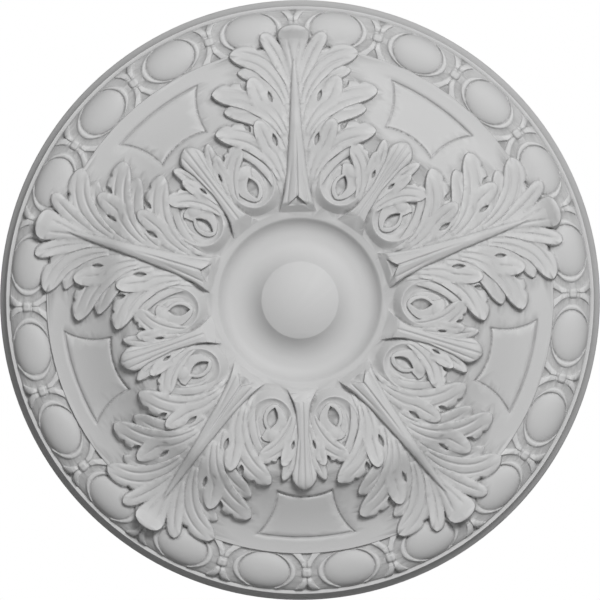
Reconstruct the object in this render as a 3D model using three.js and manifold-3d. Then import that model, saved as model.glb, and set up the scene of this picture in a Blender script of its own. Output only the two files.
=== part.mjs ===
// Ceiling rose: one casting with a ring of long and short acanthus leaves on a coved field,
// a band of cabochons round the rim, five incised panels and a dished middle with a flat boss.
// Sizes in mm. The carving is laid out with the face up and turned over at the end, so that
// the flat back lies on z = 0 and the carved face looks down.
import * as THREE from "three";
import { mergeVertices } from "three/addons/utils/BufferGeometryUtils.js";
import Module from "manifold-3d";

const wasm = await Module();
wasm.setup();

// overall sizes
const rimRadius = 254;
const edgeHeight = 3;
const filletRadius = 248;
const filletHeight = 14;
const filletWidth = 2.8;
const bandTop = 21.5;
const bandCrownRadius = 222;
const bandTurnRadius = 238;
const fieldRadius = 213.2;
const fieldFoot = 24.6;
const coveTurn = 163;
const plateauRadius = 145;
const plateau = 45.4;
const leafFootRadius = 76.5;
const ringHeight = 40.6;
const ringInner = 70;
const dishFloor = 32.2;
const dishRadius = 52.5;
const bossRadius = 32.2;
const bossHeight = 42.6;
const turns = 40;

// number of repeats round the rose
const sectors = 5;
const eggCount = 20;
const longLeafAt = Math.PI / 2;
const sectorAngle = (2 * Math.PI) / sectors;

// depth to which the carving is sunk into the body
const sink = 5;

// height of the plain surface under the leaves at a radius: a hollow cove that rounds over to a plateau
function skin(radius) {
  const run = fieldRadius - coveTurn;
  const turnOver = coveTurn - plateauRadius;
  const curve = (plateau - fieldFoot) / (run * run + run * turnOver);
  if (radius <= coveTurn) {
    const over = Math.max(0, radius - plateauRadius);
    return plateau - ((curve * run) / turnOver) * over * over;
  }
  const past = Math.max(0, radius - bandCrownRadius);
  const inward = Math.max(0, fieldRadius - radius);
  return fieldFoot + curve * inward * inward - 0.02 * past * past;
}

// makes a closed body from a geometry, turned outward if it is inside out
function bodyOf(geometry) {
  geometry.deleteAttribute("normal");
  geometry.deleteAttribute("uv");
  const welded = mergeVertices(geometry, 1e-5);
  const position = welded.attributes.position;
  const index = Array.from(welded.index.array);
  const triangles = [];
  for (let i = 0; i < index.length; i += 3) {
    const [p, q, r] = [index[i], index[i + 1], index[i + 2]];
    if (p !== q && q !== r && p !== r) {
      triangles.push([p, q, r]);
    }
  }
  const a = new THREE.Vector3();
  const b = new THREE.Vector3();
  const c = new THREE.Vector3();
  let volume = 0;
  for (const [p, q, r] of triangles) {
    a.fromBufferAttribute(position, p);
    b.fromBufferAttribute(position, q);
    c.fromBufferAttribute(position, r);
    volume += a.dot(b.cross(c));
  }
  const order = volume > 0 ? [0, 1, 2] : [0, 2, 1];
  const triVerts = new Uint32Array(triangles.flatMap((t) => order.map((k) => t[k])));
  const vertProperties = new Float32Array(position.array);
  return new wasm.Manifold(new wasm.Mesh({ numProp: 3, vertProperties, triVerts }));
}

// closed body through a row of rings with equal point counts
function loft(rings) {
  const count = rings[0].length;
  const positions = rings.flat().flatMap((p) => [p.x, p.y, p.z]);
  const index = [];
  for (let k = 0; k < rings.length - 1; k++) {
    for (let j = 0; j < count; j++) {
      const here = k * count + j;
      const next = k * count + ((j + 1) % count);
      index.push(here, next, here + count);
      index.push(next, next + count, here + count);
    }
  }
  const last = (rings.length - 1) * count;
  for (let j = 1; j < count - 1; j++) {
    index.push(0, j + 1, j);
    index.push(last, last + j, last + j + 1);
  }
  const geometry = new THREE.BufferGeometry();
  geometry.setAttribute("position", new THREE.Float32BufferAttribute(positions, 3));
  geometry.setIndex(index);
  return bodyOf(geometry);
}

// plan position for a distance out along a leaf axis and a distance to its side
function place(axis, hand, side, out) {
  const x = out * Math.cos(axis) - hand * side * Math.sin(axis);
  const y = out * Math.sin(axis) + hand * side * Math.cos(axis);
  return [x, y];
}

// cross sections as [part of half width, part of lift, part of rise]
const ridged = [[-1, 1, 0], [0, 1, 1], [1, 1, 0]];
const fluted = [[-1, 1, 0.6], [0, 1, -0.5], [1, 1, 0.6]];

// how a lobe swells and rounds off along its length
const lobeSteps = [0.22, 0.74, 1];
const lobeSwell = [0.62, 1, 0.42];

// one tongue of a leaf, bent from its root at the stem to a rounded tip
function lobe(axis, hand, spec) {
  const root = new THREE.Vector2(...spec.root);
  const bend = new THREE.Vector2(...spec.bend);
  const tip = new THREE.Vector2(...spec.tip);
  const spine = new THREE.QuadraticBezierCurve(root, bend, tip);
  const rings = lobeSteps.map((step, k) => {
    const point = spine.getPoint(step);
    const along = spine.getTangent(step);
    const half = spec.half * lobeSwell[k];
    const lift = THREE.MathUtils.lerp(spec.lift[0], spec.lift[1], step);
    const rise = 0.28 * half;
    const ring = ridged.map(([across, low, high]) => {
      const side = point.x + along.y * across * half;
      const out = point.y - along.x * across * half;
      const [x, y] = place(axis, hand, side, out);
      return new THREE.Vector3(x, y, skin(Math.hypot(side, out)) + lift * low + rise * high);
    });
    for (const across of [1, -1]) {
      const side = point.x + along.y * across * half;
      const out = point.y - along.x * across * half;
      const [x, y] = place(axis, hand, side, out);
      ring.push(new THREE.Vector3(x, y, skin(Math.hypot(side, out)) - sink));
    }
    return ring;
  });
  return loft(rings);
}

// a stem or spear that runs straight out along a leaf axis: [out, half width, lift] stations
function stem(axis, stations, section) {
  const rings = stations.map(([out, half, lift]) => {
    const base = skin(out);
    const ring = section.map(([across, low, high]) => {
      const [x, y] = place(axis, 1, across * half, out);
      return new THREE.Vector3(x, y, base + lift * low + 0.28 * Math.min(half, 6) * high);
    });
    for (const across of [1, -1]) {
      const [x, y] = place(axis, 1, across * half, out);
      ring.push(new THREE.Vector3(x, y, base - sink));
    }
    return ring;
  });
  return loft(rings);
}

// side lobes of the long leaf, tip end first: [side, out] in mm from the rose centre
const longLobes = [
  { root: [3, 178], bend: [8.5, 207], tip: [25.5, 229.5], half: 6.4, lift: [3, 5.4] },
  { root: [5.1, 160], bend: [12.5, 215], tip: [55.5, 209.5], half: 9.4, lift: [3, 6] },
  { root: [5.9, 148], bend: [13, 197.5], tip: [47.5, 195], half: 6.4, lift: [3, 4.4] },
  { root: [10.5, 140], bend: [25.5, 164], tip: [38.5, 189.5], half: 7, lift: [3, 6.6] },
  { root: [6.8, 130], bend: [19, 183], tip: [72.5, 177], half: 10.2, lift: [3, 7] },
  { root: [7.6, 116], bend: [14, 162.5], tip: [59, 155.8], half: 7.2, lift: [3, 5.4] },
  { root: [12, 106], bend: [24.5, 128], tip: [36, 152.5], half: 7.2, lift: [3, 6.8] },
  { root: [17, 104], bend: [18.5, 145.5], tip: [71.5, 137], half: 10, lift: [3, 6.8] },
];

// side lobes of the short leaf
const shortLobes = [
  { root: [4.2, 102], bend: [7, 132], tip: [20, 152], half: 5.8, lift: [3, 5.8] },
  { root: [13, 98], bend: [13, 130], tip: [41, 132.5], half: 8.6, lift: [3, 6.4] },
];

// stems, spears and the curled tip, as [out, half width, lift]
const midrib = [
  [74.5, 16.5, -7.5], [81, 15, 3.5], [98, 9.4, 5], [144, 5.3, 5.8], [212, 0.6, 3.8],
];
const shortSpear = [
  [74.5, 10.6, -7.5], [80.5, 8.8, 3.5], [96, 5.8, 5], [134, 7.8, 5.8], [148, 11, 6.8], [159.6, 2.4, 7.2],
];
const curledTip = [
  [188, 4.4, 3], [222, 15.4, 5], [229.5, 13.6, 9.6], [233.4, 5, 9.4],
];

// U shaped ridge of the scroll between a long and a short leaf, round an eye
const scrollRadius = 101.5;
const scrollTurn = THREE.MathUtils.degToRad(21.4);
const scrollBend = 14.5;
const scrollHalf = 4.2;
const scrollLift = 3.2;
const eyeLength = 9.4;
const eyeWidth = 4.6;
const eyeDepth = 2;

function scroll(axis, hand) {
  const steps = 4;
  const rings = [];
  for (let k = 0; k <= steps; k++) {
    const turn = THREE.MathUtils.degToRad(-115 + (230 * k) / steps);
    const ring = ridged.map(([across, low, high]) => scrollPoint(axis, hand, turn, across, low, high));
    ring.push(scrollPoint(axis, hand, turn, 1, -sink / scrollLift, 0));
    ring.push(scrollPoint(axis, hand, turn, -1, -sink / scrollLift, 0));
    rings.push(ring);
  }
  return loft(rings);
}

function scrollPoint(axis, hand, turn, across, low, high) {
  const reach = scrollBend + across * scrollHalf;
  const out = scrollRadius - reach * Math.cos(turn) * 1.05;
  const side = reach * Math.sin(turn);
  const [x, y] = place(axis + hand * scrollTurn, hand, side, out);
  const base = skin(Math.hypot(side, out));
  return new THREE.Vector3(x, y, base + scrollLift * low + 0.3 * scrollHalf * high);
}

function eye(axis, hand) {
  const geometry = new THREE.SphereGeometry(1, 8, 4);
  geometry.scale(eyeLength, eyeWidth, 12);
  const [x, y] = place(axis + hand * scrollTurn, hand, 0, scrollRadius);
  geometry.rotateZ(axis + hand * scrollTurn);
  geometry.translate(x, y, plateau - eyeDepth + 12);
  return bodyOf(geometry);
}

// revolved body of the rose
function coveArc(from, to, count) {
  const points = [];
  for (let k = 0; k <= count; k++) {
    const radius = from + ((to - from) * k) / count;
    points.push(new THREE.Vector2(radius, skin(radius)));
  }
  return points;
}

function turnedBody() {
  const profile = [
    [0, 0], [rimRadius, 0], [rimRadius, edgeHeight], [filletRadius + 1.4, edgeHeight + 3.4],
    [filletRadius, filletHeight],
    [filletRadius - filletWidth, filletHeight], [bandTurnRadius, bandTop - 2.6],
    [fieldRadius + 0.6, bandTop],
  ].map(([radius, height]) => new THREE.Vector2(radius, height));
  profile.push(...coveArc(fieldRadius, coveTurn, 3));
  profile.push(...[
    [plateauRadius, plateau], [leafFootRadius + 4, plateau], [leafFootRadius, ringHeight],
    [ringInner, ringHeight], [62, dishFloor + 2.5], [dishRadius - 2, dishFloor], [39, dishFloor + 4],
    [bossRadius, bossHeight], [0, bossHeight],
  ].map(([radius, height]) => new THREE.Vector2(radius, height)));
  const geometry = new THREE.LatheGeometry(profile, turns);
  geometry.rotateX(Math.PI / 2);
  return bodyOf(geometry);
}

// rim ornament: domed oval cabochons with a waisted tie between each pair
const eggRadius = 228.6;
const eggLength = 21.2;
const eggWidth = 15.4;
const eggDome = 13;
const eggSunk = 8.4;
const eggTilt = 0.24;

function egg(turn) {
  const geometry = new THREE.SphereGeometry(1, 8, 4);
  geometry.rotateX(Math.PI / 2);
  const ball = geometry.attributes.position;
  for (let k = 0; k < ball.count; k++) {
    ball.setZ(k, ball.getZ(k) < 0 ? 0.1 * ball.getZ(k) : ball.getZ(k));
  }
  geometry.scale(eggWidth * 1.3, eggLength * 1.3, eggDome);
  geometry.rotateY(eggTilt);
  geometry.translate(eggRadius, 0, bandTop - eggSunk);
  geometry.rotateZ(turn);
  return bodyOf(geometry);
}

const tieStations = [[214.4, 7, 1.4], [230.5, 2.6, 2.4], [243.4, 6, 1]];

function tie(turn) {
  const band = (radius) => bandTop - Math.max(0, radius - 226) ** 2 * 0.022;
  const rings = tieStations.map(([radius, half, lift]) => {
    const high = band(radius) + lift;
    return [[-half, high], [half, high], [half, 6], [-half, 6]].map(([side, height]) => {
      const [x, y] = place(turn, 1, side, radius);
      return new THREE.Vector3(x, y, height);
    });
  });
  return loft(rings);
}

// incised outline of a panel in the field between two long leaves
const panelInner = 165;
const panelOuter = 200;
const panelInnerHalf = THREE.MathUtils.degToRad(7.9);
const panelOuterHalf = THREE.MathUtils.degToRad(11.7);
const grooveHalf = 1.5;
const grooveDepth = 1.5;

function panelGroove(axis) {
  const corner = (radius, half) => ({ radius, half });
  const path = [];
  const addLine = (from, to, count, sag) => {
    for (let k = 0; k < count; k++) {
      const part = k / count;
      const dip = sag * 4 * part * (1 - part);
      const level = from.radius === to.radius;
      const radius = from.radius + (to.radius - from.radius) * part + (level ? dip : 0);
      const half = from.half + (to.half - from.half) * part - (level ? 0 : dip);
      path.push(corner(radius, half));
    }
  };
  const near = corner(panelInner - 2, panelInnerHalf);
  const far = corner(panelOuter, panelOuterHalf);
  addLine({ ...near, half: -near.half }, near, 2, 3.4);
  addLine(near, far, 2, 0.022);
  addLine(far, { ...far, half: -far.half }, 3, 0);
  addLine({ ...far, half: -far.half }, { ...near, half: -near.half }, 2, -0.022);
  const points = path.map(({ radius, half }) => {
    const turn = axis + half;
    return new THREE.Vector3(radius * Math.cos(turn), radius * Math.sin(turn), skin(radius));
  });
  const count = points.length;
  const rings = points.map((point, k) => {
    const before = points[(k + count - 1) % count];
    const after = points[(k + 1) % count];
    const in1 = new THREE.Vector2(point.x - before.x, point.y - before.y).normalize();
    const in2 = new THREE.Vector2(after.x - point.x, after.y - point.y).normalize();
    const mid = in1.clone().add(in2).normalize();
    const out = new THREE.Vector2(mid.y, -mid.x);
    const reach = grooveHalf / Math.max(0.5, Math.abs(out.dot(new THREE.Vector2(in1.y, -in1.x))));
    const rim = (sign) => {
      const x = point.x + out.x * reach * sign * 2;
      const y = point.y + out.y * reach * sign * 2;
      return new THREE.Vector3(x, y, skin(Math.hypot(x, y)) + grooveDepth);
    };
    return [rim(-1), rim(1), new THREE.Vector3(point.x, point.y, point.z - grooveDepth)];
  });
  return closedLoft(rings);
}

function closedLoft(rings) {
  const count = rings[0].length;
  const positions = rings.flat().flatMap((p) => [p.x, p.y, p.z]);
  const index = [];
  for (let k = 0; k < rings.length; k++) {
    const ahead = ((k + 1) % rings.length) * count;
    for (let j = 0; j < count; j++) {
      const here = k * count + j;
      const next = k * count + ((j + 1) % count);
      index.push(here, next, ahead + j);
      index.push(next, ahead + ((j + 1) % count), ahead + j);
    }
  }
  const geometry = new THREE.BufferGeometry();
  geometry.setAttribute("position", new THREE.Float32BufferAttribute(positions, 3));
  geometry.setIndex(index);
  return bodyOf(geometry);
}

// joins everything into the single casting
let rose = turnedBody();
const carving = [];
const cuts = [];
for (let k = 0; k < sectors; k++) {
  const longAxis = longLeafAt + k * sectorAngle;
  const shortAxis = longAxis + sectorAngle / 2;
  for (const hand of [1, -1]) {
    longLobes.forEach((spec) => carving.push(lobe(longAxis, hand, spec)));
    shortLobes.forEach((spec) => carving.push(lobe(shortAxis, hand, spec)));
    carving.push(scroll(longAxis, hand));
    cuts.push(eye(longAxis, hand));
  }
  carving.push(stem(longAxis, midrib, fluted));
  carving.push(stem(shortAxis, shortSpear, fluted));
  carving.push(stem(longAxis, curledTip, ridged));
  cuts.push(panelGroove(shortAxis));
}
for (let k = 0; k < eggCount; k++) {
  const turn = longLeafAt + (2 * Math.PI * (k + 0.5)) / eggCount;
  carving.push(egg(turn));
  carving.push(tie(turn + Math.PI / eggCount));
}
rose = wasm.Manifold.union([rose, ...carving]);
rose = rose.subtract(wasm.Manifold.union(cuts));

// back to a mesh, turned over so that the face looks down
const result = rose.getMesh();
const roseGeometry = new THREE.BufferGeometry();
roseGeometry.setAttribute("position", new THREE.Float32BufferAttribute(result.vertProperties, 3));
roseGeometry.setIndex(new THREE.Uint32BufferAttribute(result.triVerts, 1));
roseGeometry.rotateX(Math.PI);
const plaster = new THREE.MeshStandardMaterial({ color: 0xf1f0ec, roughness: 0.75, metalness: 0 });
plaster.name = "white_primer";
const roseMesh = new THREE.Mesh(roseGeometry, plaster);
roseMesh.name = "ceiling_rose";

const group = new THREE.Group();
group.name = "ceiling_rose_part";
group.add(roseMesh);

export default group;
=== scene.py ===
import math
import bpy
import numpy as np
from mathutils import Matrix, Vector


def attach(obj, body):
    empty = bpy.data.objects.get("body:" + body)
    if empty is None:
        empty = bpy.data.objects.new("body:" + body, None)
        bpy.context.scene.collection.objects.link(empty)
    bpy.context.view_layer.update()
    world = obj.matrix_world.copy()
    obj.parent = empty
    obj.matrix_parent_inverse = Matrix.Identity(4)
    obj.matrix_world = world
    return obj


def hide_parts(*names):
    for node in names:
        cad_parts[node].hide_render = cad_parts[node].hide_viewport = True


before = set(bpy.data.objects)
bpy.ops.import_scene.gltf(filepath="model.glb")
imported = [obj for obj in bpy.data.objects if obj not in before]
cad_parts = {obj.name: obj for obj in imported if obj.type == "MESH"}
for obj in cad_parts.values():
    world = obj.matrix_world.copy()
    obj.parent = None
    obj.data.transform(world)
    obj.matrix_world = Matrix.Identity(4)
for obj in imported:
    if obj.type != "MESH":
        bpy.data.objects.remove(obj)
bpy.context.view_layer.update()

mm = 0.001
print("stage 1: frame loaded")

# camera straight below the rose, looking up, with a long lens
camera = {"lens": 300.0, "halfSensor": 18.0, "rimShare": 0.9995, "roll": 1.45}
rimRadius = 254.0

camData = bpy.data.cameras.new("roseCamera")
camData.lens = camera["lens"]
camData.dof.use_dof = False
camReach = rimRadius * mm / (camera["halfSensor"] / camera["lens"]) / camera["rimShare"]
camObject = bpy.data.objects.new("roseCamera", camData)
bpy.context.scene.collection.objects.link(camObject)
camObject.matrix_world = (Matrix.Translation((0, 0, -camReach)) @ Matrix.Rotation(math.pi, 4, "X")
                          @ Matrix.Rotation(math.radians(-camera["roll"]), 4, "Z"))
bpy.context.scene.camera = camObject
print("stage 2: camera set")

# turned profile of the rose: radii and heights in mm, heights above the flat back
body = {
    "edge": 1.2, "filletRadius": 248.0, "fillet": 14.0, "filletWidth": 2.8,
    "bandInner": 218.0, "bandOuter": 244.8, "bandTop": 21.5, "bandFoot": 13.4,
    "fieldRadius": 213.2, "fieldFoot": 24.6, "coveTurn": 163.0, "plateauRadius": 145.0, "plateau": 44.6,
    "tipTurn": 222.0, "tipFall": 0.02,
    "ring": 40.6, "ringInner": 68.9, "dishFloor": 32.2, "dishRadius": 52.5, "bossRadius": 32.2, "boss": 42.6,
    "foot": 73.8, "groundInner": 86.0, "groundOuter": 97.0,
}
nowhere = -100.0  # height of a form outside its own outline


def smooth(low, high, value):
    part = np.clip((value - low) / (high - low), 0.0, 1.0)
    return part * part * (3.0 - 2.0 * part)


def grooveAt(side, place, width):
    return np.exp(-((side - place) / width) ** 2)


def skin(radius):
    # concave cove that rounds over to the plateau under the leaves
    run = body["fieldRadius"] - body["coveTurn"]
    turnOver = body["coveTurn"] - body["plateauRadius"]
    curve = (body["plateau"] - body["fieldFoot"]) / (run ** 2 + run * turnOver)
    cove = body["fieldFoot"] + curve * np.clip(body["fieldRadius"] - radius, 0.0, None) ** 2
    bulge = curve * run / turnOver
    over = body["plateau"] - bulge * np.clip(radius - body["plateauRadius"], 0.0, None) ** 2
    past = np.clip(radius - body["tipTurn"], 0.0, None)
    return np.where(radius > body["coveTurn"], cove, over) - past ** 2 * body["tipFall"]


def bandBase(radius):
    # cabochon band between the fillet and the field
    part = np.clip((radius - body["bandInner"]) / (body["bandOuter"] - body["bandInner"]), 0.0, 1.0)
    swell = np.sqrt(np.clip(1.0 - part ** 2.2, 0.0, 1.0))
    return body["bandFoot"] + (body["bandTop"] - body["bandFoot"]) * swell


def middle(radius):
    # dish with concave flanks and the flat boss
    outer = np.clip((radius - body["dishRadius"]) / (body["ringInner"] - body["dishRadius"]), 0.0, 1.0)
    inner = np.clip((body["dishRadius"] - radius) / (body["dishRadius"] - body["bossRadius"]), 0.0, 1.0)
    height = body["dishFloor"] + (body["ring"] - body["dishFloor"]) * outer ** 3.0
    height = height + (body["boss"] - body["dishFloor"]) * inner ** 2.2
    height = np.where(radius >= body["ringInner"], body["ring"], height)
    return np.where(radius <= body["bossRadius"], body["boss"], height)


def rimWall(radius, height):
    # flat fillet, then the steep wall down to the ceiling
    height = np.where(radius >= body["filletRadius"] - body["filletWidth"], body["fillet"], height)
    down = np.clip((radius - body["filletRadius"]) / (rimRadius - body["filletRadius"]), 0.0, 1.0)
    wall = body["fillet"] + (body["edge"] - body["fillet"]) * down ** 0.55
    return np.where(radius > body["filletRadius"], wall, height)


# leaf lobes: root, bend and tip as (side, out) in mm from the leaf axis and the rose centre
longLobes = [
    {"root": (3.2, 176), "bend": (9.0, 203), "tip": (26.5, 225.0), "half": 7.8,
     "lift": (3.6, 4.4), "veins": 1, "taper": 0.22, "point": 0.44},
    {"root": (4.4, 158), "bend": (12.0, 209), "tip": (54.5, 206.5), "half": 11.0,
     "lift": (3.6, 4.8), "veins": 2, "notches": (0.72,), "taper": 0.26},
    {"root": (5.2, 147), "bend": (13.0, 193), "tip": (48.0, 192.0), "half": 8.4,
     "lift": (3.2, 4.0), "veins": 1},
    {"root": (9.0, 138), "bend": (25.0, 157), "tip": (36.5, 188.0), "half": 10.0,
     "lift": (3.4, 7.6), "veins": 1, "point": 0.44, "curl": 2.4},
    {"root": (6.0, 130), "bend": (18.0, 178), "tip": (70.0, 174.0), "half": 11.8,
     "lift": (3.8, 6.8), "veins": 2, "notches": (0.7, 0.83)},
    {"root": (7.2, 118), "bend": (14.0, 161), "tip": (60.0, 159.0), "half": 9.4,
     "lift": (3.2, 5.4), "veins": 1},
    {"root": (8.6, 104), "bend": (22.0, 124), "tip": (32.0, 151.6), "half": 8.8,
     "lift": (3.4, 8.2), "veins": 1, "point": 0.44, "curl": 2.4},
    {"root": (10.0, 93), "bend": (17.0, 143), "tip": (67.5, 140.0), "half": 11.8,
     "lift": (3.6, 7.2), "veins": 2, "notches": (0.72, 0.85)},
    {"root": (14.2, 79), "bend": (14.6, 120), "tip": (55.0, 129.0), "half": 7.4,
     "lift": (3.0, 4.6), "veins": 1, "fade": 0.3},
]
shortLobes = [
    {"root": (4.4, 100), "bend": (6.4, 130), "tip": (18.2, 151.4), "half": 6.4,
     "lift": (3.8, 5.8), "veins": 1},
    {"root": (5.5, 96), "bend": (8.0, 117), "tip": (17.4, 139.2), "half": 6.8,
     "lift": (3.4, 7.2), "veins": 1, "point": 0.44, "curl": 2.4},
    {"root": (6.5, 91), "bend": (9.0, 126), "tip": (38.0, 131.5), "half": 9.6,
     "lift": (3.4, 6.4), "veins": 2, "notches": (0.7, 0.84), "point": 0.44, "taper": 0.24},
]
# what a lobe takes where its own line says nothing, and the form all lobes share
relief = {
    "innerWall": 1.2, "outerWall": 1.7, "rootWall": 0.9, "rise": 0.03, "tilt": 0.9,
    "veinPlaces": {1: (0.0,), 2: (-0.38, 0.3)}, "veinDepth": 1.1, "veinWidth": 0.085,
    "taper": 0.3, "point": 0.56, "narrow": 0.08, "curl": 1.5, "fade": 0.14,
    "rootWidth": 0.42, "notchCut": 0.2, "notchWidth": 0.022, "spineSteps": 60,
}


def spineOf(spec):
    # bent line of a lobe, with the length run along it at each point
    steps = np.linspace(0.0, 1.0, relief["spineSteps"] + 1)
    root, bend, tip = (np.array(spec[key], float) for key in ("root", "bend", "tip"))
    spine = (np.outer((1 - steps) ** 2, root) + np.outer(2 * steps * (1 - steps), bend)
             + np.outer(steps ** 2, tip))
    length = np.concatenate([[0.0], np.cumsum(np.hypot(*np.diff(spine, axis=0).T))])
    return spine, length


def lobeHeight(side, out, base, bare, spec):
    # distance along and across the bent spine of one lobe
    spine, length = spineOf(spec)
    nearest = np.full(side.shape, 1e9)
    along = np.zeros(side.shape)
    across = np.zeros(side.shape)
    for k in range(relief["spineSteps"]):
        start, end = spine[k], spine[k + 1]
        run = end - start
        part = np.clip(((side - start[0]) * run[0] + (out - start[1]) * run[1]) / run.dot(run), 0.0, 1.0)
        gapX = side - start[0] - part * run[0]
        gapY = out - start[1] - part * run[1]
        gap = np.hypot(gapX, gapY)
        closer = gap < nearest
        nearest = np.where(closer, gap, nearest)
        along = np.where(closer, length[k] + part * (length[k + 1] - length[k]), along)
        across = np.where(closer, np.sign(run[0] * gapY - run[1] * gapX) * gap, across)
    # outline: swells from the root, closes to a rounded point, notched on the inner side
    total = length[-1]
    half = spec["half"]
    share = along / total
    swell = half * (relief["rootWidth"] + (1.0 - relief["rootWidth"]) * smooth(0.0, 0.55, share))
    swell = swell * (1.0 - relief["narrow"] * smooth(0.5, 0.95, share))
    taper = max(1.2 * half, spec.get("taper", relief["taper"]) * total)
    close = np.clip((along - (total - taper)) / taper, 0.0, 1.0)
    width = swell * np.clip(1.0 - close ** 2.4, 0.0, 1.0) ** spec.get("point", relief["point"]) + 1e-6
    for notch in spec.get("notches", ()):
        bite = relief["notchCut"] * (across > 0.0) * grooveAt(share, notch, relief["notchWidth"])
        width = width * (1.0 - bite)
    inside = width - nearest
    # surface: lifts towards the tip, tilts a little and has sunk veins
    across = across / swell
    lift = spec["lift"][0] + (spec["lift"][1] - spec["lift"][0]) * share ** spec.get("curl", relief["curl"])
    dome = relief["rise"] * swell * (1.0 - np.clip(np.abs(across), 0.0, 1.0) ** 2)
    dome = dome - relief["tilt"] * np.clip(across, -1.0, 1.0) * smooth(0.0, 0.12, share)
    veinFade = smooth(0.96, 0.7, share) * smooth(0.02, 0.2, share)
    for place in relief["veinPlaces"][spec["veins"]]:
        dome = dome - relief["veinDepth"] * veinFade * grooveAt(across, place, relief["veinWidth"])
    # the two sides have walls of their own slope, steeper near the root
    edge = relief["innerWall"] + (relief["outerWall"] - relief["innerWall"]) * smooth(-0.3, 0.7, across)
    wall = relief["rootWall"] + (edge - relief["rootWall"]) * smooth(0.3, 0.8, share)
    wall = np.minimum(wall, 0.45 * half)
    shown = np.clip(inside / wall, 0.0, 1.0) ** 0.85 * smooth(0.0, spec.get("fade", relief["fade"]), share)
    return np.where(inside > 0.0, bare + (base + lift + dome - bare) * shown, nowhere)


# stems, spears and the thin plates under the lobes: (out, half width, lift) stations in mm
midrib = [(72, 16.6, 3.6), (80, 14.4, 4.0), (91.6, 11.6, 4.6), (108, 9.2, 5.0), (141, 6.2, 5.6),
          (175, 4.3, 5.8), (196, 2.8, 5.6), (208, 0.6, 5.0)]
shortSpear = [(72, 14.0, 3.6), (79, 11.0, 4.2), (85, 8.6, 4.8), (93, 6.6, 5.2), (114, 5.4, 5.8),
              (136, 8.4, 6.0), (146, 11.2, 6.8), (151, 10.8, 7.2), (155.5, 8.2, 7.4), (158.5, 5.0, 7.4),
              (160.2, 0.8, 7.4)]
curledTip = [(186, 4.4, 3.2), (204, 8.0, 3.8), (214, 11.6, 3.8), (220, 13.8, 4.6), (224, 14.2, 6.6),
             (227.5, 12.8, 9.2), (230, 10.0, 10.2), (231.6, 6.4, 10.2), (232.6, 0.6, 9.6)]
longPlate = [(100, 6, 1.0), (108, 14, 2.2), (118, 26, 2.4), (127, 38, 2.6), (134, 38, 2.6), (141, 30, 2.6),
             (146, 26, 2.6), (152, 36, 2.6), (165, 40, 2.6), (173, 36, 2.6), (180, 28, 2.6), (186, 28, 2.6),
             (192, 34, 2.6), (203, 38, 2.6), (210, 24, 2.6), (216, 12, 2.6), (222, 8, 2.6)]
shortPlate = [(94, 4, 1.0), (104, 12, 2.4), (114, 20, 2.6), (123, 24, 2.6), (130, 20, 2.6), (138, 12, 2.6),
              (146, 8, 2.6)]
# grooves as depth, width and the two radii between which they fade in or out
stem = {
    "wall": 1.5, "roofReach": 9.0, "ribRoof": 0.42, "ribSlope": 1.15,
    "ribGroove": 1.8, "ribGrooveWidth": 0.9, "ribGrooveEnd": (150.0, 110.0),
    "legGroove": 0.9, "legGrooveWidth": 0.8, "legGrooveEnd": (128.0, 96.0),
    "legPlace": 9.8, "legStart": 74.0, "legPinch": 0.14, "legLeast": 2.24,
    "tipRoof": 0.2, "tipFlute": 0.9, "tipFluteWidth": 0.9, "tipFluteFoot": 190.0, "tipFluteSpread": 0.18,
    "tipFluteStart": (192.0, 200.0), "tipFluteEnd": (223.0, 214.0),
    "spearRoof": 0.22, "spearSlope": 0.85, "spearGroove": 1.2, "spearVein": 0.9, "spearVeinWidth": 0.7,
    "spearVeinPlace": 2.7, "spearVeinFoot": 114.0, "spearVeinSpread": 0.09,
    "spearVeinStart": (110.0, 126.0), "spearVeinEnd": (157.0, 149.0),
}
footFacet = {"apex": 87.4, "base": 79.4, "half": 8.2, "level": 46.8, "rise": 0.6}


def stemHeight(side, out, base, bare, stations, roof, groove):
    # straight stem, spear or plate along a leaf axis
    table = np.array(stations, float)
    half = np.interp(out, table[:, 0], table[:, 1])
    lift = np.interp(out, table[:, 0], table[:, 2])
    between = (table[1:, 0] + table[:-1, 0]) / 2.0
    slant = np.interp(out, between, np.diff(table[:, 1]) / np.diff(table[:, 0]))
    inside = (half - side) / np.sqrt(1.0 + slant ** 2)
    across = np.clip(side / np.maximum(half, 0.5), 0.0, 1.0)
    dome = roof * np.minimum(half, stem["roofReach"]) * (1.0 - across ** 1.4)
    dome = dome - groove * grooveAt(side, 0.0, 1.0)
    within = (out > table[0, 0]) & (out < table[-1, 0]) & (inside > 0.0)
    return np.where(within, bare + (base + lift + dome - bare) * smooth(0.0, stem["wall"], inside), nowhere)


def footWall(out, slope):
    # sloping end of a stem above the ring
    return body["ring"] + (out - body["foot"]) * slope


def ribHeight(side, out, base, bare):
    # ridge of the long leaf, grooved down the middle and along each leg
    rib = stemHeight(side, out, base, bare, midrib, stem["ribRoof"], 0.0)
    rib = rib - (stem["ribGroove"] * grooveAt(side, 0.0, stem["ribGrooveWidth"])
                 * smooth(*stem["ribGrooveEnd"], out))
    leg = np.clip(stem["legPlace"] - stem["legPinch"] * (out - stem["legStart"]), stem["legLeast"], None)
    rib = rib - (stem["legGroove"] * grooveAt(side, leg, stem["legGrooveWidth"])
                 * smooth(*stem["legGrooveEnd"], out))
    return np.minimum(rib, footWall(out, stem["ribSlope"]))


def tipHeight(side, out, base, bare):
    # flaring curled tip of the long leaf with a shallow flute on each side
    flare = stemHeight(side, out, base, bare, curledTip, stem["tipRoof"], 0.0)
    place = stem["tipFluteSpread"] * (out - stem["tipFluteFoot"])
    fade = smooth(*stem["tipFluteStart"], out) * smooth(*stem["tipFluteEnd"], out)
    return flare - stem["tipFlute"] * grooveAt(side, place, stem["tipFluteWidth"]) * fade


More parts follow.
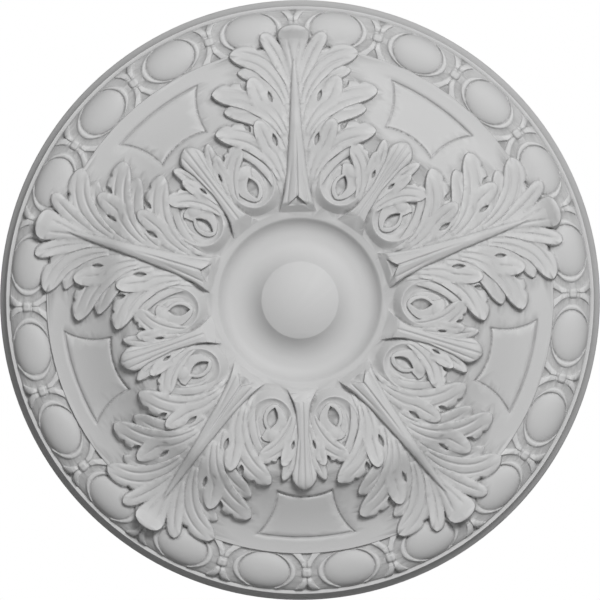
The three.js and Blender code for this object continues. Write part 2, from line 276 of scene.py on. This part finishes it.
def spearHeight(side, out, base, bare):
    # spear of the short leaf with a groove down the middle and a vein on each side
    spear = stemHeight(side, out, base, bare, shortSpear, stem["spearRoof"], stem["spearGroove"])
    place = stem["spearVeinPlace"] + stem["spearVeinSpread"] * (out - stem["spearVeinFoot"])
    fade = smooth(*stem["spearVeinStart"], out) * smooth(*stem["spearVeinEnd"], out)
    spear = spear - stem["spearVein"] * grooveAt(side, place, stem["spearVeinWidth"]) * fade
    return np.minimum(spear, footWall(out, stem["spearSlope"]))


def cutFacet(side, out, height):
    # three-sided facet sunk into the foot of the long stem
    toApex = (footFacet["apex"] - out) / (footFacet["apex"] - footFacet["base"])
    facet = np.minimum(height, footFacet["level"] + footFacet["rise"] * (1.0 - toApex))
    return np.where((side < footFacet["half"] * toApex) & (toApex < 1.0), facet, height)


# oval scroll round an eye, between each long and short leaf
scroll = {"radius": 101.6, "turn": math.radians(21.4), "centre": (-0.8, 9.4), "half": (19.2, 25.8),
          "eyeLength": 9.4, "eyeWidth": 4.8, "eyeDepth": 7.5, "eyeShallow": 0.4,
          "knob": (4.2, 14.2), "knobHalf": (6.4, 6.2), "knobFoot": 3.2, "knobLift": 5.4}
# the tongue's width as (share of a turn, share of the bowl): wide at its bulb, thin at its end
bowl = {"tongue": [(0.0, 0.4), (0.12, 0.45), (0.3, 0.62), (0.55, 0.36), (0.8, 0.2), (1.0, 0.06)],
        "windStart": 0.3, "lip": 4.4, "lipFall": 0.5, "floor": 1.4, "rim": 4.2, "rimStart": 0.45, "wall": 7.3,
        "flutes": (0.38, 0.56, 0.72, 0.86), "fluteDepth": 1.0, "fluteWidth": 0.035, "end": (36.0, 20.0)}


def bowlHeight(lean, rise, base):
    # share of the way from the eye's lip to the outer oval, seen from the eye
    reach = np.hypot(lean, rise) + 1e-6
    goX, goY = lean / reach, rise / reach
    (midX, midY), (halfX, halfY) = scroll["centre"], scroll["half"]
    a = (goX / halfX) ** 2 + (goY / halfY) ** 2
    b = goX * midX / halfX ** 2 + goY * midY / halfY ** 2
    c = (midX / halfX) ** 2 + (midY / halfY) ** 2 - 1.0
    outer = (b + np.sqrt(b ** 2 - a * c)) / a
    inner = 1.0 / np.sqrt((goX / scroll["eyeWidth"]) ** 2 + (goY / scroll["eyeLength"]) ** 2)
    share = (reach - inner) / (outer - inner)
    # tongue that winds round the eye, fluted channel, crisp rim, then a steep wall down to the ring
    wind = np.mod(np.arctan2(lean, rise) + bowl["windStart"], 2.0 * math.pi) / (2.0 * math.pi)
    limit = np.interp(wind, *zip(*bowl["tongue"]))
    tongue = bowl["lip"] - bowl["lipFall"] * (np.clip(share, 0.0, None) / limit) ** 2
    climb = np.clip((share - bowl["rimStart"]) / (1.0 - bowl["rimStart"]), 0.0, 1.0) ** 2
    channel = bowl["floor"] + (bowl["rim"] - bowl["floor"]) * climb
    fade = smooth(-2.0, 8.0, rise) * smooth(5.0, -1.0, lean)
    for flute in bowl["flutes"]:
        channel = channel - bowl["fluteDepth"] * fade * grooveAt(share, flute, bowl["fluteWidth"])
    lift = np.where(share < limit, tongue, channel) * smooth(*bowl["end"], rise)
    # bulb at the tongue's end
    (knobX, knobY), (knobWide, knobLong) = scroll["knob"], scroll["knobHalf"]
    knob = 1.0 - ((lean - knobX) / knobWide) ** 2 - ((rise - knobY) / knobLong) ** 2
    bulb = scroll["knobFoot"] + (scroll["knobLift"] - scroll["knobFoot"]) * np.sqrt(np.clip(knob, 0.0, 1.0))
    lift = np.where(knob > 0.0, np.maximum(lift, bulb), lift)
    drop = np.clip((reach - outer) / bowl["wall"], 0.0, 1.0) ** 1.15
    high = base + lift - (base + lift - body["ring"]) * drop
    return np.where((drop < 1.0) & (lift > 0.0), high, nowhere)


def eyeCut(lean, rise):
    # almond hollow whose floor slopes to one side
    lens = np.clip(1.0 - (rise / scroll["eyeLength"]) ** 2, 0.0, 1.0) * scroll["eyeWidth"]
    slope = np.clip((lean + lens) / (2.0 * lens + 1e-6), 0.0, 1.0) * (np.abs(lean) < lens)
    depth = scroll["eyeDepth"] * (scroll["eyeShallow"] + (1.0 - scroll["eyeShallow"]) * slope)
    return depth * smooth(0.0, 0.9, lens - np.abs(lean))


# slits where one leaflet tucks under the next: place as (side, out), half length, half width, lean
slits = [
    {"leaf": "long", "at": (20.8, 171.2), "length": 5.6, "width": 2.0, "lean": 0.3, "depth": 5.4},
    {"leaf": "long", "at": (17.6, 134.6), "length": 6.2, "width": 2.2, "lean": 0.28, "depth": 5.8},
    {"leaf": "short", "at": (8.9, 121.5), "length": 4.6, "width": 1.6, "lean": 0.25, "depth": 5.0},
    {"leaf": "long", "at": (43.0, 180.5), "length": 4.6, "width": 2.4, "lean": 0.5, "depth": 9.0},
    {"leaf": "long", "at": (40.0, 145.0), "length": 4.6, "width": 2.4, "lean": 0.5, "depth": 9.0},
    {"leaf": "short", "at": (21.0, 133.5), "length": 3.6, "width": 1.8, "lean": 0.4, "depth": 8.0},
]
slitFloor = 0.2  # how far a slit may go below the field


def slitCut(side, out, spec):
    gapSide, gapOut = side - spec["at"][0], out - spec["at"][1]
    along = gapSide * math.sin(spec["lean"]) + gapOut * math.cos(spec["lean"])
    across = gapSide * math.cos(spec["lean"]) - gapOut * math.sin(spec["lean"])
    lens = np.clip(1.0 - (along / spec["length"]) ** 2, 0.0, 1.0) * spec["width"]
    return spec["depth"] * smooth(0.0, 1.2, lens - np.abs(across))


# five incised panels in the field, dished along their inner edge
panel = {"inner": 165.4, "bow": 3.6, "outer": 200.0, "innerHalf": math.radians(8.2),
         "outerHalf": math.radians(11.7), "pinch": math.radians(1.1), "groove": 1.5, "depth": 2.2,
         "dish": 1.3, "dishRun": 5.0}


def panelCut(radius, turn):
    part = (radius - panel["inner"] + panel["bow"]) / (panel["outer"] - panel["inner"] + panel["bow"])
    half = panel["innerHalf"] + (panel["outerHalf"] - panel["innerHalf"]) * part
    half = half - panel["pinch"] * 4.0 * np.clip(part * (1.0 - part), 0.0, 1.0)
    innerEdge = panel["inner"] - panel["bow"] * (turn / panel["innerHalf"]) ** 2
    edge = np.minimum(np.minimum(radius - innerEdge, panel["outer"] - radius), (half - turn) * radius)
    groove = panel["depth"] * np.clip(1.0 - np.abs(edge) / panel["groove"], 0.0, 1.0)
    dish = panel["dish"] * np.exp(-np.clip(radius - innerEdge, 0.0, None) / panel["dishRun"]) * (edge > 0.0)
    return groove + dish


# rim ornament: cabochons, a crescent at each end of them and a tie with swallow tails between
egg = {"count": 20, "radius": 229.6, "length": 21.4, "width": 15.4, "dome": 4.3,
       "crescent": 27.4, "crescentWidth": 16.6, "crescentRise": 2.2,
       "bead": 3.5, "beadRise": 3.2, "beadLong": 1.2, "beadOff": 0.8,
       "waist": 4.2, "flare": 0.052, "flareStart": 3.0, "tailRise": 2.3, "tailNotch": 9.6, "notchSlope": 0.7,
       "trench": 1.6, "pit": 2.6}


def rimHeight(radius, turn):
    pitch = 2.0 * math.pi / egg["count"]
    local = (np.mod(turn, pitch) - pitch / 2.0) * egg["radius"]
    off = radius - egg["radius"]
    ring = np.sqrt((local / egg["length"]) ** 2 + (off / egg["width"]) ** 2)
    moon = np.sqrt((local / egg["crescent"]) ** 2 + (off / egg["crescentWidth"]) ** 2)
    dome = egg["dome"] * np.clip(1.0 - ring ** 2.4, 0.0, 1.0) ** 0.5
    crescent = egg["crescentRise"] * smooth(1.02, 1.07, ring) * smooth(1.0, 0.95, moon)
    # tie between two cabochons: a bead in a trench, with a forked tail above and below
    gap = pitch / 2.0 * egg["radius"] - np.abs(local)
    far = np.abs(off - egg["beadOff"])
    tail = egg["waist"] + np.clip(far - egg["flareStart"], 0.0, None) ** 2 * egg["flare"]
    notch = np.clip(far - egg["tailNotch"], 0.0, None) * egg["notchSlope"]
    tails = egg["tailRise"] * smooth(0.0, 1.0, tail - gap) * smooth(0.0, 1.0, gap - notch + 0.4)
    round4 = (gap / (egg["beadLong"] * egg["bead"])) ** 4 + (far / egg["bead"]) ** 4
    bead = egg["beadRise"] * np.clip(1.0 - round4, 0.0, 1.0) ** 0.4
    trench = egg["trench"] * smooth(6.0, 4.4, far) * smooth(6.4, 4.8, gap)
    pit = egg["pit"] * smooth(-0.2, 0.8, notch - gap) * (off > 0.0)
    fade = smooth(245.2, 244.0, radius) * smooth(213.2, 213.8, radius)
    ornament = np.maximum(np.maximum(dome, crescent), np.maximum(np.maximum(tails - trench, 0.0), bead))
    return bandBase(radius) + (ornament - pit) * fade


def roseHeight(radius, turn):
    # turn runs from a long leaf axis (0) to the next short leaf axis (36 degrees)
    base = skin(radius)
    shortTurn = math.pi / 5.0 - turn
    onLong = radius * np.sin(turn), radius * np.cos(turn)
    onShort = radius * np.sin(shortTurn), radius * np.cos(shortTurn)
    onScroll = (turn - scroll["turn"]) * radius, radius - scroll["radius"]
    ground = body["ring"] + (base - body["ring"]) * smooth(body["groundInner"], body["groundOuter"], radius)
    bare = np.where(radius > body["fieldRadius"], rimHeight(radius, turn), ground)
    height = np.where(radius > body["fieldRadius"], bare, ground - panelCut(radius, shortTurn))
    # everything raised: the highest form shows
    forms = [stemHeight(*onLong, base, bare, longPlate, 0.0, 0.0),
             stemHeight(*onShort, base, bare, shortPlate, 0.0, 0.0),
             bowlHeight(*onScroll, base)]
    forms += [lobeHeight(*onLong, base, bare, spec) for spec in longLobes]
    forms += [lobeHeight(*onShort, base, bare, spec) for spec in shortLobes]
    forms += [tipHeight(*onLong, base, bare), ribHeight(*onLong, base, bare),
              spearHeight(*onShort, base, bare)]
    for form in forms:
        height = np.maximum(height, form)
    # everything sunk
    height = cutFacet(*onLong, height)
    height = height - eyeCut(*onScroll)
    for spec in slits:
        place = onLong if spec["leaf"] == "long" else onShort
        height = np.maximum(height - slitCut(*place, spec), np.minimum(height, ground - slitFloor))
    height = np.where(radius < body["ringInner"] + 0.4, middle(radius), height)
    return rimWall(radius, height)


# dense polar grid over the face, then thinned where it is smooth
mesh = {"turns": 1800, "step": 0.55, "triangles": 190000, "sharpAngle": 55.0}


def roseMesh():
    radii = np.concatenate([
        [12.0, 22.0, 30.0, 31.4, 32.1, 32.5], np.arange(33.5, 70.0, 1.25), [69.7, 70.3, 72.0, 73.5],
        np.arange(74.6, 245.0, mesh["step"]), [245.1, 245.6, 246.5, 247.6, 248.0, 248.4],
        np.arange(249.0, 253.8, 0.7), [rimRadius],
    ])
    count = mesh["turns"]
    rows = len(radii)
    perSector = count // 5
    halfTurns = np.arange(perSector // 2 + 1) * (2.0 * math.pi / count)
    grid = roseHeight(*np.meshgrid(radii, halfTurns, indexing="ij"))
    column = np.arange(count) % perSector
    heights = grid[:, np.minimum(column, perSector - column)]
    # the first long leaf points to the top of the picture, which is -Y seen from below
    angle = math.pi / 2.0 + np.arange(count) * (2.0 * math.pi / count)
    x = np.outer(radii, np.cos(angle))
    y = -np.outer(radii, np.sin(angle))
    face = np.stack([x, y, -heights], axis=-1).reshape(-1, 3)
    rim = np.stack([x[-1], y[-1], np.zeros(count)], axis=-1)
    points = np.concatenate([face, rim, [[0.0, 0.0, -body["boss"]], [0.0, 0.0, 0.0]]]) * mm
    here = np.arange(count)
    ahead = (here + 1) % count
    quads = []
    for row in range(rows):
        low, high = row * count, (row + 1) * count
        quads.append(np.stack([low + here, high + here, high + ahead, low + ahead], axis=-1))
    quads = np.concatenate(quads)
    # fans close the boss in front and the flat back
    middleIndex, backIndex = len(points) - 2, len(points) - 1
    fan = np.stack([np.full(count, middleIndex), here, ahead], axis=-1)
    last = rows * count
    back = np.stack([np.full(count, backIndex), last + ahead, last + here], axis=-1)
    data = bpy.data.meshes.new("roseDense")
    data.from_pydata(points.tolist(), [], quads.tolist() + fan.tolist() + back.tolist())
    data.update()
    return data


dense = bpy.data.objects.new("roseDense", roseMesh())
bpy.context.scene.collection.objects.link(dense)
total = sum(len(p.vertices) - 2 for p in dense.data.polygons)
print("stage 3: dense face", total)
thin = dense.modifiers.new("thin", "DECIMATE")
thin.ratio = mesh["triangles"] / total
thin.use_collapse_triangulate = True
bpy.context.view_layer.update()
roseData = bpy.data.meshes.new_from_object(dense.evaluated_get(bpy.context.evaluated_depsgraph_get()))
roseData.name = "ceilingRose"
bpy.data.objects.remove(dense)
rose = bpy.data.objects.new("ceilingRose", roseData)
bpy.context.scene.collection.objects.link(rose)
roseData.shade_smooth()
roseData.set_sharp_from_angle(angle=math.radians(mesh["sharpAngle"]))
print("stage 4: rose mesh", len(roseData.polygons))

# matt white primer with faint mottling, painted shade in creases and a painted highlight on edges
primer = {"colour": (0.62, 0.62, 0.62, 1.0), "shade": (0.60, 0.60, 0.60, 1.0),
          "crease": (0.2, 0.2, 0.2, 1.0), "creaseRange": (0.36, 0.49),
          "edge": (0.78, 0.78, 0.78, 1.0), "highlightRange": (0.515, 0.62),
          "roughness": 0.62, "mottleScale": 22.0, "mottleDetail": 4.0,
          "grain": 0.08, "grainScale": 700.0, "grainDepth": 0.0006}


def pointinessRange(nodes, links, form, span):
    step = nodes.new("ShaderNodeMapRange")
    step.inputs["From Min"].default_value, step.inputs["From Max"].default_value = span
    links.new(form.outputs["Pointiness"], step.inputs["Value"])
    return step.outputs["Result"]


def colourMix(nodes):
    mix = nodes.new("ShaderNodeMix")
    mix.data_type = "RGBA"
    return mix


def primerMaterial():
    material = bpy.data.materials.new("whitePrimer")
    material.use_nodes = True
    nodes, links = material.node_tree.nodes, material.node_tree.links
    shader = nodes["Principled BSDF"]
    shader.inputs["Roughness"].default_value = primer["roughness"]
    place = nodes.new("ShaderNodeTexCoord")
    cloud = nodes.new("ShaderNodeTexNoise")
    cloud.inputs["Scale"].default_value = primer["mottleScale"]
    cloud.inputs["Detail"].default_value = primer["mottleDetail"]
    tint = colourMix(nodes)
    tint.inputs["A"].default_value = primer["shade"]
    tint.inputs["B"].default_value = primer["colour"]
    links.new(place.outputs["Object"], cloud.inputs["Vector"])
    links.new(cloud.outputs["Fac"], tint.inputs["Factor"])
    # painted shade darkens the creases and a painted highlight makes the edges paler
    form = nodes.new("ShaderNodeNewGeometry")
    paintedShade = colourMix(nodes)
    paintedShade.inputs["A"].default_value = primer["crease"]
    links.new(pointinessRange(nodes, links, form, primer["creaseRange"]), paintedShade.inputs["Factor"])
    links.new(tint.outputs["Result"], paintedShade.inputs["B"])
    paintedHighlight = colourMix(nodes)
    paintedHighlight.inputs["B"].default_value = primer["edge"]
    links.new(pointinessRange(nodes, links, form, primer["highlightRange"]), paintedHighlight.inputs["Factor"])
    links.new(paintedShade.outputs["Result"], paintedHighlight.inputs["A"])
    links.new(paintedHighlight.outputs["Result"], shader.inputs["Base Color"])
    # fine grain of the casting
    grain = nodes.new("ShaderNodeTexNoise")
    grain.inputs["Scale"].default_value = primer["grainScale"]
    bump = nodes.new("ShaderNodeBump")
    bump.inputs["Strength"].default_value = primer["grain"]
    bump.inputs["Distance"].default_value = primer["grainDepth"]
    links.new(place.outputs["Object"], grain.inputs["Vector"])
    links.new(grain.outputs["Fac"], bump.inputs["Height"])
    links.new(bump.outputs["Normal"], shader.inputs["Normal"])
    return material


roseData.materials.clear()
roseData.materials.append(primerMaterial())
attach(rose, "root")
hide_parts("ceiling_rose")
print("stage 5: material set")

# soft studio: pale floor far below, key light from the upper right of the picture, pale sky
studio = {"floorDrop": 5.2, "floorSize": 14.0, "floorTone": (0.62, 0.62, 0.62, 1.0), "floorShade": 0.97,
          "floorRoughness": 0.8, "floorMottle": 3.0,
          "keyTurn": 60.0, "keyTilt": 30.0, "keyReach": 3.6, "keySize": 1.0, "keyPower": 86.0,
          "sky": 1.0, "horizon": 0.08, "skyRange": (0.55, 0.9)}

floorData = bpy.data.meshes.new("studioFloor")
edge = studio["floorSize"] / 2.0
floorCorners = [(-edge, -edge, 0), (edge, -edge, 0), (edge, edge, 0), (-edge, edge, 0)]
floorData.from_pydata(floorCorners, [], [(0, 1, 2, 3)])
floor = bpy.data.objects.new("studioFloor", floorData)
floor.location = (0, 0, -studio["floorDrop"])
bpy.context.scene.collection.objects.link(floor)
floorPaint = bpy.data.materials.new("paleFloor")
floorPaint.use_nodes = True
floorNodes, floorLinks = floorPaint.node_tree.nodes, floorPaint.node_tree.links
floorShader = floorNodes["Principled BSDF"]
floorShader.inputs["Roughness"].default_value = studio["floorRoughness"]
floorCloud = floorNodes.new("ShaderNodeTexNoise")
floorCloud.inputs["Scale"].default_value = studio["floorMottle"]
floorRamp = floorNodes.new("ShaderNodeValToRGB")
floorDark = tuple(studio["floorShade"] * c for c in studio["floorTone"][:3]) + (1.0,)
floorRamp.color_ramp.elements[0].color = floorDark
floorRamp.color_ramp.elements[1].color = studio["floorTone"]
floorLinks.new(floorCloud.outputs["Fac"], floorRamp.inputs["Fac"])
floorLinks.new(floorRamp.outputs["Color"], floorShader.inputs["Base Color"])
floorData.materials.append(floorPaint)

keyData = bpy.data.lights.new("keyLight", "AREA")
keyData.energy = studio["keyPower"]
keyData.size = studio["keySize"]
key = bpy.data.objects.new("keyLight", keyData)
turn, tilt = math.radians(studio["keyTurn"]), math.radians(studio["keyTilt"])
toKey = Vector((math.cos(turn) * math.sin(tilt), -math.sin(turn) * math.sin(tilt), -math.cos(tilt)))
key.location = toKey * studio["keyReach"]
key.rotation_euler = toKey.to_track_quat("Z", "Y").to_euler()
bpy.context.scene.collection.objects.link(key)

# the sky is bright overhead and dim towards the horizon
world = bpy.data.worlds.new("paleSky")
world.use_nodes = True
bpy.context.scene.world = world
skyNodes, skyLinks = world.node_tree.nodes, world.node_tree.links
skyPlace = skyNodes.new("ShaderNodeTexCoord")
skySplit = skyNodes.new("ShaderNodeSeparateXYZ")
skyRamp = skyNodes.new("ShaderNodeMapRange")
skyRamp.inputs["From Min"].default_value, skyRamp.inputs["From Max"].default_value = studio["skyRange"]
skyRamp.inputs["To Min"].default_value = studio["horizon"]
skyRamp.inputs["To Max"].default_value = studio["sky"]
skyLinks.new(skyPlace.outputs["Generated"], skySplit.inputs["Vector"])
skyLinks.new(skySplit.outputs["Z"], skyRamp.inputs["Value"])
skyLinks.new(skyRamp.outputs["Result"], skyNodes["Background"].inputs["Strength"])
skyNodes["Background"].inputs["Color"].default_value = (1.0, 1.0, 1.0, 1.0)
bpy.context.scene.view_settings.view_transform = "Standard"
print("stage 6: studio set")
